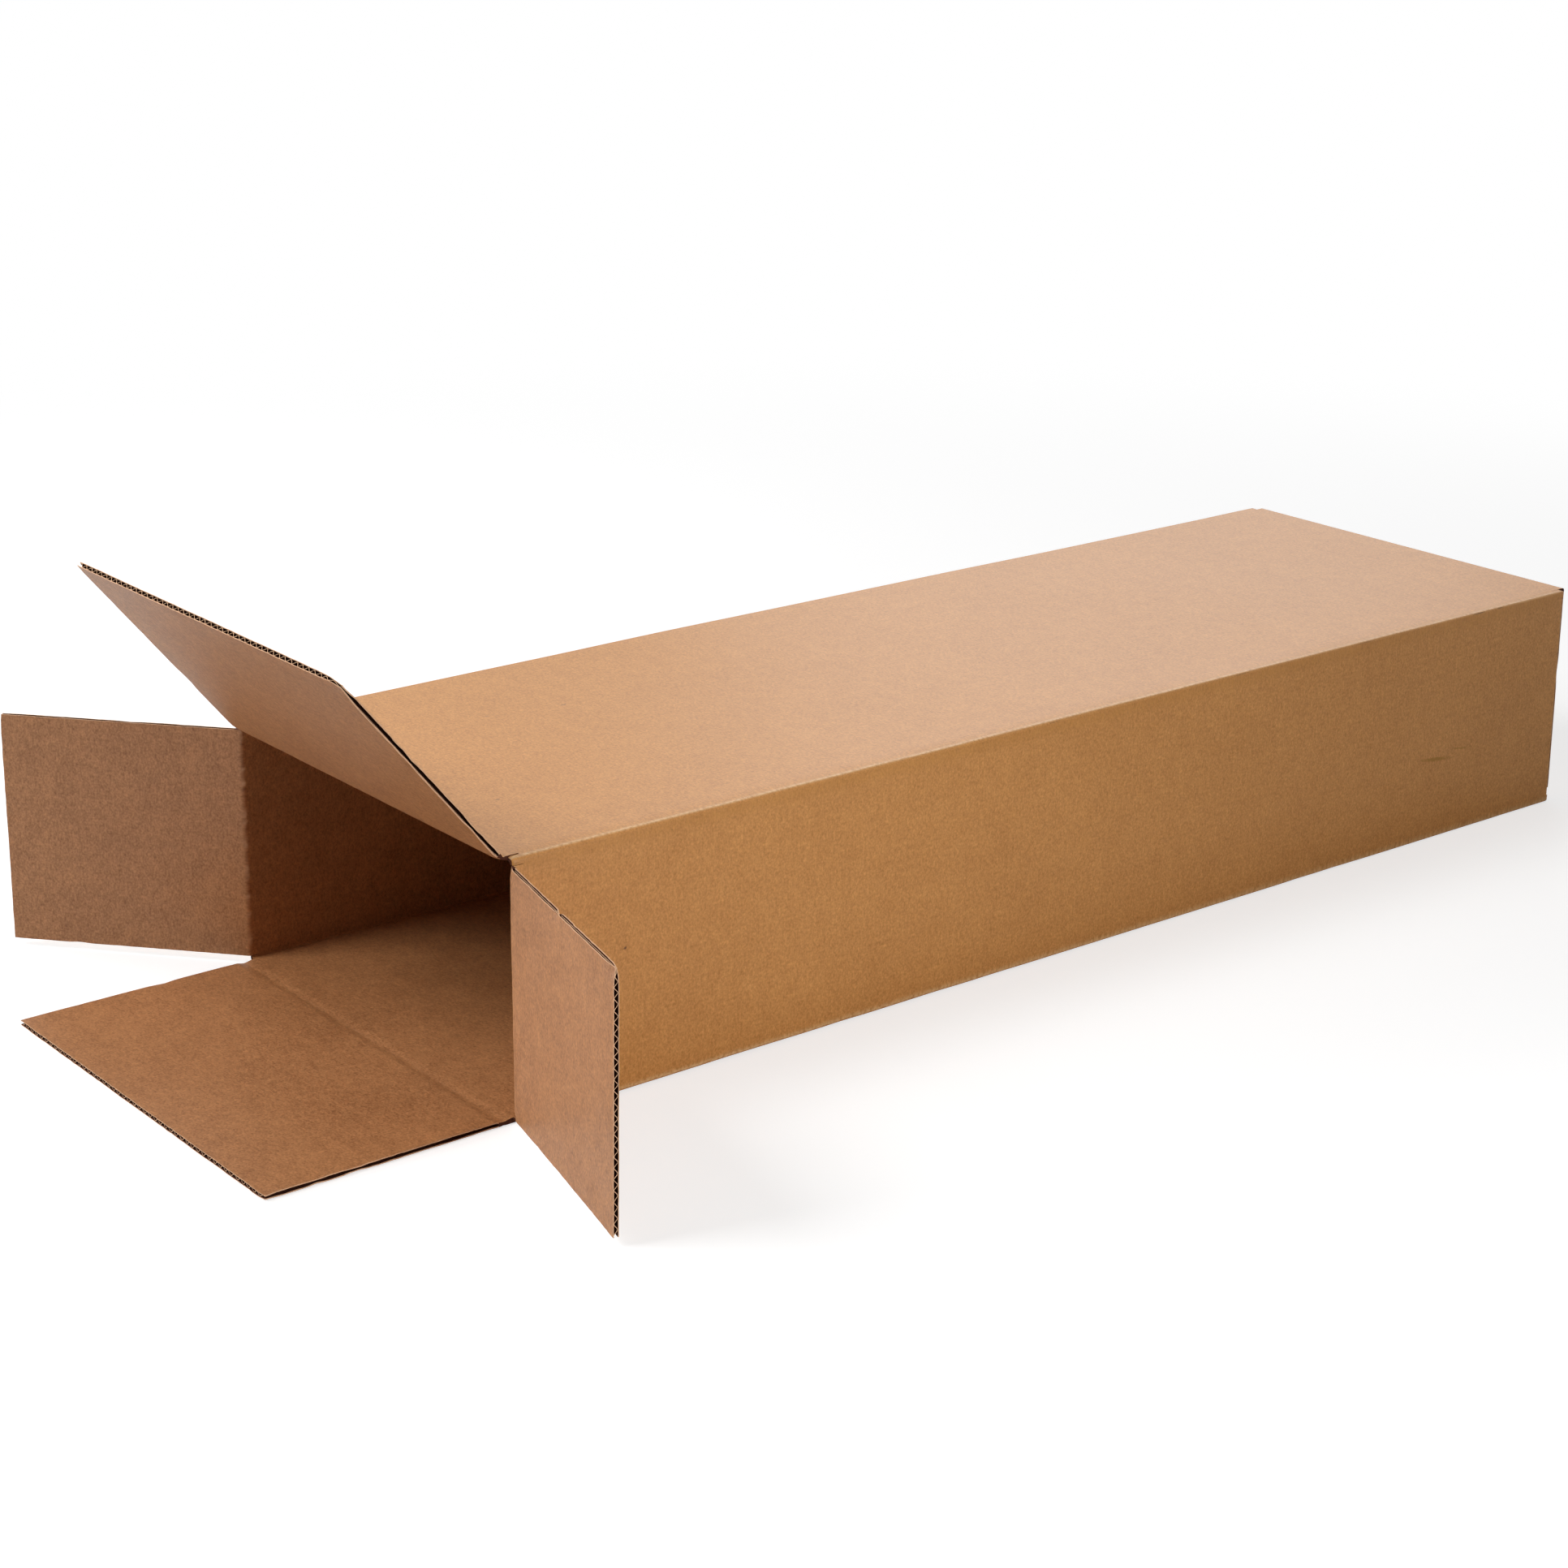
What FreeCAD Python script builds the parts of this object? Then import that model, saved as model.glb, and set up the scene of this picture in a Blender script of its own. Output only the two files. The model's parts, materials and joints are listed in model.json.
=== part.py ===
import FreeCAD, Part
import Sketcher
import math
import os

# Open full-overlap shipping carton, folded from one sheet of single-wall corrugated board.
# It lies on a wide panel. X is its width, Y its length and Z is up. The open end faces -Y.
# The origin is at the middle of the base, on the surface that the carton lies on.

os.makedirs("parts", exist_ok=True)
doc = FreeCAD.newDocument("open_carton")

# Driving dimensions, in millimetres and degrees
sizes = [
    ("box_width", 381.0, "outside width, across the wide panels"),
    ("box_height", 200.0, "outside height, across the side panels"),
    ("side_length", 1128.0, "side panels, from score to score"),
    ("board", 4.2, "thickness of the corrugated board"),
    ("liner", 0.45, "liner sheet with the flute crest glued on it"),
    ("medium", 0.6, "fluted sheet, cut across on its slope"),
    ("flute_pitch", 7.8, "from one flute to the next"),
    ("flute_crest", 1.2, "flat of a flute along the liner"),
    ("edge_channel", 2.2, "open channel beside an edge cut along the flutes"),
    ("side_overlap", 5.5, "side flap, past the middle of the box when closed"),
    ("top_short", 6.0, "closed top flap, short of the base by this much"),
    ("bottom_short", 10.0, "closed bottom flap, short of the top by this much"),
    ("rear_short", 10.0, "each glued wide flap at the rear, short by this much"),
    ("side_slot", 6.0, "half slot taken off each end of a side flap"),
    ("wide_slot", 6.5, "half slot taken off each end of a wide flap"),
    ("slot_run", 3.0, "slot running on past the score of a side flap"),
    ("layer_gap", 0.3, "room between two closed flaps"),
    ("score_gap", 0.35, "half of the slit at a score, in the outer face"),
    ("score_lip", 0.3, "board left at the bottom of a crushed score"),
    ("score_spread", 4.4, "crush on each side of a score, in the inner face"),
    ("crush_run", 5.0, "flutes pressed shut beyond the crush"),
    ("fold_radius", 3.6, "outside radius of the long folded corners"),
    ("rear_radius", 2.4, "outside radius of the rear folds"),
    ("tab_width", 38.0, "glue tab of the long joint"),
    ("tab_setback", 14.0, "distance from the side scores to the ends of the tab"),
    ("tab_taper", 8.0, "slant of each end of the tab"),
    ("seam_groove", 1.3, "depth of the groove under the cut edge of the long joint"),
    ("seam_drop", 2.1, "height of that groove"),
    ("rear_flute_run", 24.0, "open flutes in the cut end of the outer rear flap"),
    ("top_open", 50.5, "top flap, turned outward from straight"),
    ("bottom_open", 0.0, "bottom flap, turned outward from straight"),
    ("left_open", 49.0, "left flap, turned outward from straight"),
    ("right_open", 76.0, "right flap, turned outward from straight"),
]
sheet = doc.addObject("Spreadsheet::Sheet", "Sizes")
for row, (alias, value, note) in enumerate(sizes, start=1):
    sheet.set("A%d" % row, alias)
    sheet.set("B%d" % row, str(value))
    sheet.set("C%d" % row, note)
    sheet.setAlias("B%d" % row, alias)
doc.recompute()

# Places worked out from the driving dimensions, each written once
half_width = "Sizes.box_width / 2"
half_side = "Sizes.side_length / 2"
side_score = "(%s)" % half_side
side_depth = "(%s + Sizes.side_overlap)" % half_width
top_depth = "(Sizes.box_height - Sizes.top_short)"
bottom_depth = "(Sizes.box_height - Sizes.bottom_short)"
rear_depth = "(Sizes.box_height - Sizes.rear_short)"
layer = "(Sizes.board + Sizes.layer_gap)"
top_score = "(%s + %s)" % (half_side, layer)
bottom_score = "(%s + 2 * %s)" % (half_side, layer)
wide_half = "(%s - Sizes.wide_slot)" % half_width
inner_half = "(%s - Sizes.board)" % half_width
inner_top = "(Sizes.box_height - Sizes.board)"
rear_middle = "(%s + Sizes.board)" % half_side
rear_outer = "(%s + 2 * Sizes.board)" % half_side
wide_span = "(Sizes.box_width - 2 * Sizes.wide_slot)"
side_span = "(Sizes.box_height - 2 * Sizes.side_slot)"
beyond = "Sizes.board"
same_place = 0.01


def origin_item(body, role):
    """Returns the body's own origin plane or axis with that role."""
    return next(item for item in body.Origin.OriginFeatures if item.Role == role)


def new_body(name):
    """Starts one piece of the model, labelled with its file name."""
    body = doc.addObject("PartDesign::Body", name)
    body.Label = name
    return body


def new_sketch(body, name, plane, offset=None):
    """Starts a sketch on one of the body's origin planes, moved along its normal."""
    sketch = body.newObject("Sketcher::SketchObject", name)
    sketch.AttachmentSupport = [(origin_item(body, plane), "")]
    sketch.MapMode = "FlatFace"
    if offset is not None:
        sketch.setExpression("AttachmentOffset.Base.z", offset)
    return sketch


def add_outline(sketch, corners):
    """Draws a closed outline, with both coordinates of each corner bound to the sizes."""
    first = sketch.GeometryCount
    count = len(corners)
    radius, turn = 10.0, 2 * math.pi / count
    start = [FreeCAD.Vector(radius * math.cos(i * turn), radius * math.sin(i * turn), 0)
             for i in range(count)]
    for i in range(count):
        sketch.addGeometry(Part.LineSegment(start[i], start[(i + 1) % count]), False)
    for i in range(count):
        follower = first + (i + 1) % count
        sketch.addConstraint(Sketcher.Constraint("Coincident", first + i, 2, follower, 1))
    for i, (across, along) in enumerate(corners):
        for kind, value, formula in (
            ("DistanceX", start[i].x, across),
            ("DistanceY", start[i].y, along),
        ):
            number = sketch.addConstraint(Sketcher.Constraint(kind, -1, 1, first + i, 1, value))
            sketch.setExpression("Constraints[%d]" % number, formula)


def add_rectangle(sketch, low_x, low_y, high_x, high_y):
    """Draws a rectangle between two opposite corners."""
    add_outline(sketch, [(low_x, low_y), (high_x, low_y), (high_x, high_y), (low_x, high_y)])


def pad(body, name, sketch, length, backwards=False, both_ways=False):
    """Adds board along the sketch's normal, against it, or half each way."""
    feature = body.newObject("PartDesign::Pad", name)
    feature.Profile = sketch
    feature.setExpression("Length", length)
    feature.Reversed = backwards
    feature.Midplane = both_ways
    doc.recompute()
    return feature


def pocket(body, name, sketch, length, backwards=False, both_ways=False):
    """Cuts away from the sketch, and stops if nothing was cut."""
    before = body.Shape.Volume
    feature = body.newObject("PartDesign::Pocket", name)
    feature.Profile = sketch
    feature.setExpression("Length", length)
    feature.Reversed = backwards
    feature.Midplane = both_ways
    doc.recompute()
    if not body.Shape.Volume < before:
        raise RuntimeError(name + " cut nothing")
    return feature


def fillet(body, name, radius, wanted):
    """Rounds the straight edges whose two ends pass the test."""
    tip = body.Tip
    chosen = []
    for number, edge in enumerate(tip.Shape.Edges, start=1):
        ends = [vertex.Point for vertex in edge.Vertexes]
        if len(ends) == 2 and edge.Curve.TypeId == "Part::GeomLine" and wanted(ends[0], ends[1]):
            chosen.append("Edge%d" % number)
    feature = body.newObject("PartDesign::Fillet", name)
    feature.Base = (tip, chosen)
    feature.setExpression("Radius", radius)
    doc.recompute()
    return feature


def near(value, target):
    """Says whether two coordinates are the same."""
    return abs(value - target) < same_place


def cut_flutes(body, name, plane, offset, span, run, place, side_axis, backwards):
    """Opens the flutes in a cut end: trapezoid cells above and below the wavy sheet, repeated."""
    # Half a flute is kept back, as the cells of the two sides stand half a flute apart
    count = "floor((%s - 2 * Sizes.edge_channel) / Sizes.flute_pitch - 0.5)" % span
    first = "(-((%s - 1) * Sizes.flute_pitch + Sizes.flute_pitch / 2) / 2)" % count
    foot = "(Sizes.flute_pitch - Sizes.flute_crest - Sizes.medium) / 2"
    head = "(Sizes.flute_crest - Sizes.medium) / 2"
    low, high = "Sizes.liner", "(Sizes.board - Sizes.liner)"
    cells = new_sketch(body, name + "_cells", plane, offset)
    for centre, base, tip in ((first, high, low), (first + " + Sizes.flute_pitch / 2", low, high)):
        corners = [
            ("%s - %s" % (centre, foot), base),
            ("%s + %s" % (centre, foot), base),
            ("%s + %s" % (centre, head), tip),
            ("%s - %s" % (centre, head), tip),
        ]
        add_outline(cells, [place(across, deep) for across, deep in corners])
    cut = pocket(body, name + "_first", cells, run, backwards)
    pattern = body.newObject("PartDesign::LinearPattern", name + "_flutes")
    pattern.Originals = [cut]
    pattern.Direction = (cells, [side_axis])
    pattern.setExpression("Length", "Sizes.flute_pitch * (%s - 1)" % count)
    pattern.setExpression("Occurrences", count)
    body.Tip = pattern
    doc.recompute()
    edges = new_sketch(body, name + "_edges", plane, offset)
    for side in ("-", ""):
        inner = "%s(%s / 2 - Sizes.edge_channel)" % (side, span)
        outer = "%s(%s / 2 + %s)" % (side, span, beyond)
        corners = [(inner, low), (outer, low), (outer, high), (inner, high)]
        add_outline(edges, [place(across, deep) for across, deep in corners])
    pocket(body, name + "_channels", edges, run, backwards)


def score_profile(score, outward):
    """Outline of the board crushed away at a score, as pairs of length and depth formulas."""
    front = "-(%s + %s)" % (score, beyond)
    slit = "-(%s - Sizes.score_gap)" % score
    full = "-(%s - Sizes.score_gap - Sizes.score_spread)" % score
    return [
        (front, outward % ("-" + beyond)),
        (slit, outward % ("-" + beyond)),
        (slit, outward % "Sizes.score_lip"),
        (full, outward % "Sizes.board"),
        (full, outward % ("2 * " + beyond)),
        (front, outward % ("2 * " + beyond)),
    ]


# Carton: the four panels, the rear flaps folded in and glued, and the glue tab of the long joint
def make_carton():
    """Builds the tube of the carton, closed at the rear and scored round its open mouth."""
    body = new_body("carton")

    section = new_sketch(body, "tube_section", "XZ_Plane")
    add_rectangle(section, "-" + half_width, "0", half_width, "Sizes.box_height")
    pad(body, "tube", section, "Sizes.side_length", both_ways=True)

    right, high = sheet.box_width / 2, sheet.box_height
    folded = ((right, high), (right, 0.0), (-right, 0.0))

    def long_fold(a, b):
        along_y = near(a.x, b.x) and near(a.z, b.z)
        return along_y and any(near(a.x, x) and near(a.z, z) for x, z in folded)

    fillet(body, "long_folds", "Sizes.fold_radius", long_fold)

    room = new_sketch(body, "room", "XZ_Plane", half_side)
    add_rectangle(room, "-" + inner_half, "Sizes.board", inner_half, inner_top)
    pocket(body, "inside", room, "Sizes.side_length - Sizes.board")

    # The wide panels run further than the side panels, because their flaps close outside
    for name, low, top, reach in (
        ("top_lip", inner_top, "Sizes.box_height", layer),
        ("bottom_lip", "0", "Sizes.board", "2 * " + layer),
    ):
        lip = new_sketch(body, name + "_section", "XZ_Plane", half_side)
        add_rectangle(lip, "-" + wide_half, low, wide_half, top)
        pad(body, name, lip, reach)

    # Rear flaps: the side flaps are the inner layer, then the bottom flap, then the top flap
    for name, start, low, top in (
        ("rear_bottom_flap", half_side, "0", rear_depth),
        ("rear_top_bridge", half_side, inner_top, "Sizes.box_height"),
        ("rear_top_flap", rear_middle, "Sizes.rear_short", "Sizes.box_height"),
    ):
        flap = new_sketch(body, name + "_section", "XZ_Plane", "-" + start)
        add_rectangle(flap, "-" + wide_half, low, wide_half, top)
        pad(body, name, flap, "Sizes.board", backwards=True)

    # Slots between the flaps run a little way into the corners
    slot_low, slot_high = "Sizes.side_slot", "Sizes.box_height - Sizes.side_slot"
    for name, offset, backwards in (
        ("mouth_slots", half_side, False),
        ("rear_slots", "-" + half_side, True),
    ):
        corners = new_sketch(body, name + "_outline", "XZ_Plane", offset)
        for side in ("-", ""):
            inner, outer = side + wide_half, "%s(%s + %s)" % (side, half_width, beyond)
            add_rectangle(corners, inner, "-" + beyond, outer, slot_low)
            add_rectangle(corners, inner, slot_high, outer, "Sizes.box_height + " + beyond)
        pocket(body, name, corners, "Sizes.slot_run", backwards)

    rear_side, rear_top = sheet.side_length / 2, sheet.side_length / 2 + 2 * sheet.board
    rear_bottom = sheet.side_length / 2 + sheet.board

    def rear_fold(a, b):
        if not near(a.y, b.y):
            return False
        upright = near(a.y, rear_side) and near(abs(a.x), right) and near(a.x, b.x)
        top = near(a.y, rear_top) and near(a.z, high) and near(b.z, high)
        bottom = near(a.y, rear_bottom) and near(a.z, 0) and near(b.z, 0)
        return upright or top or bottom

    fillet(body, "rear_folds", "Sizes.rear_radius", rear_fold)

    # Crushed scores of the four open flaps
    for name, score, outward in (
        ("top_score", top_score, "Sizes.box_height - (%s)"),
        ("bottom_score", bottom_score, "%s"),
    ):
        crush = new_sketch(body, name + "_profile", "YZ_Plane")
        add_outline(crush, score_profile(score, outward))
        pocket(body, name, crush, wide_span, both_ways=True)
    for name, outward in (
        ("right_score", half_width + " - (%s)"),
        ("left_score", "-(%s) + (%%s)" % half_width),
    ):
        crush = new_sketch(body, name + "_profile", "XY_Plane", "Sizes.box_height / 2")
        outline = score_profile(side_score, outward)
        add_outline(crush, [(deep, along) for along, deep in outline])
        pocket(body, name, crush, "Sizes.box_height - 2 * Sizes.board", both_ways=True)

    # Long joint: a tab folded from the left panel and glued under the cut edge of the top panel
    tab = new_sketch(body, "tab_outline", "XY_Plane", inner_top)
    tab_end = "(%s - Sizes.tab_setback)" % half_side
    tab_tip = "(%s - Sizes.tab_taper)" % tab_end
    tab_edge = "-%s + Sizes.tab_width" % inner_half
    wall = "-" + half_width + " + Sizes.board / 2"
    add_outline(tab, [
        (wall, "-" + tab_end),
        (tab_edge, "-" + tab_tip),
        (tab_edge, tab_tip),
        (wall, tab_end),
    ])
    pad(body, "glue_tab", tab, "Sizes.board", backwards=True)

    seam = new_sketch(body, "seam_profile", "XZ_Plane")
    outside = "-(%s + %s)" % (half_width, beyond)
    seam_low = "%s - Sizes.seam_drop" % inner_top
    add_outline(seam, [
        (outside, inner_top),
        ("-%s + Sizes.seam_groove" % half_width, inner_top),
        ("-" + half_width, seam_low),
        (outside, seam_low),
    ])
    pocket(body, "seam", seam, "2 * Sizes.side_length", both_ways=True)

    cut_flutes(body, "rear", "XY_Plane", "Sizes.rear_short", wide_span, "Sizes.rear_flute_run",
               lambda across, deep: (across, "%s - (%s)" % (rear_outer, deep)), "H_Axis", True)
    return body


# Flaps: each is drawn straight out from its score, then turned outward about it
def make_flap(name, wide, outer, depth, score, place, turn):
    """Builds one open flap with its crushed score, its fluted cut end and its slotted edges."""
    body = new_body(name)
    span = wide_span if wide else side_span
    profile = [
        ("Sizes.score_gap", "0"),
        (depth, "0"),
        (depth, "Sizes.board"),
        ("Sizes.score_gap + Sizes.score_spread", "Sizes.board"),
        ("Sizes.score_gap", "Sizes.score_lip"),
    ]
    board = new_sketch(body, name + "_profile", "YZ_Plane" if wide else "XY_Plane")
    inward = "-(%s)" if outer > 0 else "(%s)"
    points = [("-(%s)" % along, inward % deep) for along, deep in profile]
    add_outline(board, points if wide else [(deep, along) for along, deep in points])
    pad(body, name + "_board", board, span, both_ways=True)

    run = "%s - Sizes.score_gap - Sizes.score_spread - Sizes.crush_run" % depth

    def section(across, deep):
        return (across, inward % deep) if wide else (inward % deep, across)

    side_axis = "H_Axis" if wide else "V_Axis"
    cut_flutes(body, name, "XZ_Plane", depth, span, run, section, side_axis, False)

    body.Placement.Rotation = FreeCAD.Rotation(FreeCAD.Vector(*turn[0]), 1)
    body.setExpression("Placement.Base.x", place[0])
    body.setExpression("Placement.Base.y", "-" + score)
    body.setExpression("Placement.Base.z", place[1])
    body.setExpression("Placement.Rotation.Angle", turn[1])
    return body


middle = "Sizes.box_height / 2"
carton = make_carton()
top_flap = make_flap("top_flap", True, 1, top_depth, top_score,
                     ("0", "Sizes.box_height"), ((-1, 0, 0), "Sizes.top_open"))
bottom_flap = make_flap("bottom_flap", True, -1, bottom_depth, bottom_score,
                        ("0", "0"), ((1, 0, 0), "Sizes.bottom_open"))
left_flap = make_flap("left_flap", False, -1, side_depth, side_score,
                      ("-" + half_width, middle), ((0, 0, -1), "Sizes.left_open"))
right_flap = make_flap("right_flap", False, 1, side_depth, side_score,
                       (half_width, middle), ((0, 0, 1), "Sizes.right_open"))
doc.recompute()

# Checks before anything is written
for item in doc.Objects:
    if "Invalid" in item.State or "Error" in item.State:
        raise RuntimeError("%s did not recompute: %s" % (item.Name, item.State))
for body in (carton, top_flap, bottom_flap, left_flap, right_flap):
    shape = body.Shape
    if shape.isNull() or not shape.isValid() or len(shape.Solids) != 1:
        raise RuntimeError("%s is not one sound solid" % body.Label)
    shape.exportStep("parts/%s.step" % body.Label)
    box = shape.BoundBox
    print("%s: %.1f cm3, X %.1f..%.1f, Y %.1f..%.1f, Z %.1f..%.1f" % (
        body.Label, shape.Volume / 1000, box.XMin, box.XMax, box.YMin, box.YMax, box.ZMin, box.ZMax))
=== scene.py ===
import json
import math

import bmesh
import bpy
import numpy as np
from mathutils import Matrix, Vector


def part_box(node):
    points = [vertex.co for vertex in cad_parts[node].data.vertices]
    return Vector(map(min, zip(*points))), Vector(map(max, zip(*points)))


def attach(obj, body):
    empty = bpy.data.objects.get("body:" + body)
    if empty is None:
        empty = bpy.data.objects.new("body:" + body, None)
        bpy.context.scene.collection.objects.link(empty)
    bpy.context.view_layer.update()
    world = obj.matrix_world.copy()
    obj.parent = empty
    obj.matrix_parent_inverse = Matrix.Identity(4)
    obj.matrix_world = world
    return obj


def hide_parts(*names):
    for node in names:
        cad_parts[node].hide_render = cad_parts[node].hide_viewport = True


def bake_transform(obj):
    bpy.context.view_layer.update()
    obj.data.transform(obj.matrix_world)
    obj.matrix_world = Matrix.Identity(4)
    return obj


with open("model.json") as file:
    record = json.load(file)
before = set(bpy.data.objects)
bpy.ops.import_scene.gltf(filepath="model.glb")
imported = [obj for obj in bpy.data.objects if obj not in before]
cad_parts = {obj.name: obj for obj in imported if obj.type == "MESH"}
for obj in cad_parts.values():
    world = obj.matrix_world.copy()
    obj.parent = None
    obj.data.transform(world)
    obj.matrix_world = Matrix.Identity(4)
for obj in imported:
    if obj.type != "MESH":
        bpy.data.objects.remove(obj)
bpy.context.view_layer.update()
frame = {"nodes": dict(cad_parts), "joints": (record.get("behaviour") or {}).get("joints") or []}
print("frame loaded:", ", ".join(sorted(frame["nodes"])))

# Looks of an open shipping carton in single-wall corrugated board.
# Lengths are in millimetres until the last step of each mesh, which turns them to metres.
millimetre = 0.001

board = {
    "thickness": 4.2,
    "liner": 0.5,  # real papers are half as thick, too thin for their cut edges to show
    "fluting": 0.4,
    "flutePitch": 7.8,
    "flutePoints": 12,
    "edgeChannel": 1.6,  # from the cut edge in to the first flute
    "frayed": 0.35,  # mm that the fibres of a knifed liner stand up
    "room": 0.1,  # what closed flaps leave each other on either side
}

# the folded box: its outside and its scores are those of the frame
cartonLow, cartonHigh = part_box("carton")
hinges = {joint["child"]: joint["pos_m"] for joint in frame["joints"]}
box = {
    "width": (cartonHigh[0] - cartonLow[0]) / millimetre,
    "height": (cartonHigh[2] - cartonLow[2]) / millimetre,
    "sideScore": -hinges["right_flap"][1] / millimetre,
    "topScore": -hinges["top_flap"][1] / millimetre,
    "bottomScore": -hinges["bottom_flap"][1] / millimetre,
    "rearTop": cartonHigh[1] / millimetre,
    "rearBottom": cartonHigh[1] / millimetre - board["thickness"],
    "tubeEnd": 556.0,  # the tube is one mesh between these, the folds take over beyond
    "mouthCornerEnd": 564.5,  # the slots reach in to here
    "rearCornerEnd": 565.0,
    "wideSpan": 368.0,  # width of the flaps on the wide panels, between the slots
    "sideSpan": 188.0,
    "rearRadius": 2.4,
}

def ease(x):
    x = np.clip(x, 0.0, 1.0)
    return x * x * (3 - 2 * x)

def wander(u, v, length, seed):  # smooth random surface from -1 to 1, turning over that many mm
    knots = np.random.default_rng(seed).uniform(-1, 1, (128, 128))
    u, v = np.broadcast_arrays(np.asarray(u, float), np.asarray(v, float))
    atU, atV = u / length + 64, v / length + 64
    i, j = np.floor(atU).astype(int), np.floor(atV).astype(int)
    a, b = ease(atU - i), ease(atV - j)
    i, j, iNext, jNext = i % 128, j % 128, (i + 1) % 128, (j + 1) % 128
    low = knots[i, j] * (1 - a) + knots[iNext, j] * a
    high = knots[i, jNext] * (1 - a) + knots[iNext, jNext] * a
    return low * (1 - b) + high * b

def near(x, middle, width):  # a soft bump round one place
    return np.exp(-(((x - middle) / width) ** 2))

# A sheet of paper is two faces on one grid, with a rim all round.
def newSheets():
    return {"points": [], "faces": [], "finish": [], "blank": [], "wearAndPaintedLight": [], "count": 0}

def addSheet(sheets, face, back, blankFace, blankBack, finishes, faceWearAndLight=0.0, backWearAndLight=0.0):
    rows, columns = face.shape[:2]
    start, size = sheets["count"], rows * columns
    for wearAndPaintedLight in (faceWearAndLight, backWearAndLight):
        sheets["wearAndPaintedLight"].append(np.broadcast_to(wearAndPaintedLight, (rows, columns)).ravel())
    sheets["points"] += [face.reshape(-1, 3), back.reshape(-1, 3)]
    sheets["blank"] += [blankFace.reshape(-1, 3), blankBack.reshape(-1, 3)]
    number = np.arange(size).reshape(rows, columns) + start
    a, b, c, d = number[:-1, :-1], number[1:, :-1], number[1:, 1:], number[:-1, 1:]
    front = np.stack([a, b, c, d], -1).reshape(-1, 4)
    rear = front[:, ::-1] + size
    ring = np.concatenate([number[:-1, 0], number[-1, :-1], number[:0:-1, -1], number[0, :0:-1]])
    after = np.roll(ring, -1)
    rim = np.stack([ring, ring + size, after + size, after], -1)
    for quads, finish in zip((front, rear, rim), finishes):
        sheets["faces"].append(quads)
        sheets["finish"].append(np.full(len(quads), finish))
    sheets["count"] += 2 * size

def makePiece(name, sheets, materials, sharp=32):
    mesh = bpy.data.meshes.new(name)
    points = np.concatenate(sheets["points"]) * millimetre
    faces = np.concatenate(sheets["faces"])
    mesh.from_pydata(points.tolist(), [], faces.tolist())
    for material in materials:
        mesh.materials.append(material)
    mesh.polygons.foreach_set("material_index", np.concatenate(sheets["finish"]).astype(np.int32))
    blank = mesh.attributes.new("blank", "FLOAT_VECTOR", "POINT")
    flat = (np.concatenate(sheets["blank"]) * millimetre).astype(np.float32)
    blank.data.foreach_set("vector", flat.ravel())
    wearAndPaintedLight = mesh.attributes.new("wearAndPaintedLight", "FLOAT", "POINT")
    wearAndPaintedLight.data.foreach_set("value", np.concatenate(sheets["wearAndPaintedLight"]).astype(np.float32))
    shape = bmesh.new()
    shape.from_mesh(mesh)
    bmesh.ops.recalc_face_normals(shape, faces=shape.faces)
    shape.to_mesh(mesh)
    shape.free()
    mesh.polygons.foreach_set("use_smooth", np.ones(len(mesh.polygons), bool))
    mesh.set_sharp_from_angle(angle=math.radians(sharp))
    piece = bpy.data.objects.new(name, mesh)
    bpy.context.scene.collection.objects.link(piece)
    return piece

# Where each panel stands, and where it lies on the flat blank.
insideLayer = 4000.0  # mm added on the blank for the inner face, so that its paper differs
panels = {
    "top": {"across": (1, 0, 0), "face": (0, 0, 1), "x": 0.0, "z": box["height"],
            "blankMiddle": 0.0, "blankTurn": 1, "span": box["wideSpan"]},
    "right": {"across": (0, 0, 1), "face": (1, 0, 0), "x": box["width"] / 2, "z": box["height"] / 2,
              "blankMiddle": (box["width"] + box["height"]) / 2, "blankTurn": -1, "span": box["sideSpan"]},
    "bottom": {"across": (1, 0, 0), "face": (0, 0, -1), "x": 0.0, "z": 0.0,
               "blankMiddle": box["width"] + box["height"], "blankTurn": -1, "span": box["wideSpan"]},
    "left": {"across": (0, 0, 1), "face": (-1, 0, 0), "x": -box["width"] / 2, "z": box["height"] / 2,
             "blankMiddle": 1.5 * (box["width"] + box["height"]), "blankTurn": 1,
             "span": box["sideSpan"]},
}

# The eight flaps. Lengths along a flap count from its score.
# dip and dipRun: how deep and how far each way the score presses the inner face down
# endDips: what the two ends of the score are pressed further, the end at low X or Z first
# warp: how far the free end leans out at its corner of high X or Z, and at its low one
# pinches: where a cut edge's liners are pressed together (edge, how far along, how wide, how hard),
#     edge 1 being the one at high X or Z
# flare: how far the liners spread at a cut edge; torn: its raggedness
# paintedScoreHighlight: strength of a painted highlight, a pale broken line along the inside of the score
# where its edge catches light
# corner: the bumped one, its reach across and along, how it is crushed, bent out and set back
rearFlap = {
    "end": 1, "angle": -90.0, "dip": 0.0, "dipRun": 4.0, "endDips": (0.0, 0.0),
    "warp": (0.0, 0.0), "flare": 0.05, "paintedScoreHighlight": 0.0,
}
rearSideFlap = {
    **rearFlap, "score": box["sideScore"], "depth": 190.2, "torn": 0.1, "pinches": [],
    "corner": {"edge": 1, "across": 8, "along": 8, "crush": 0.1, "bend": 0.0, "back": 0.2},
}
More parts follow.
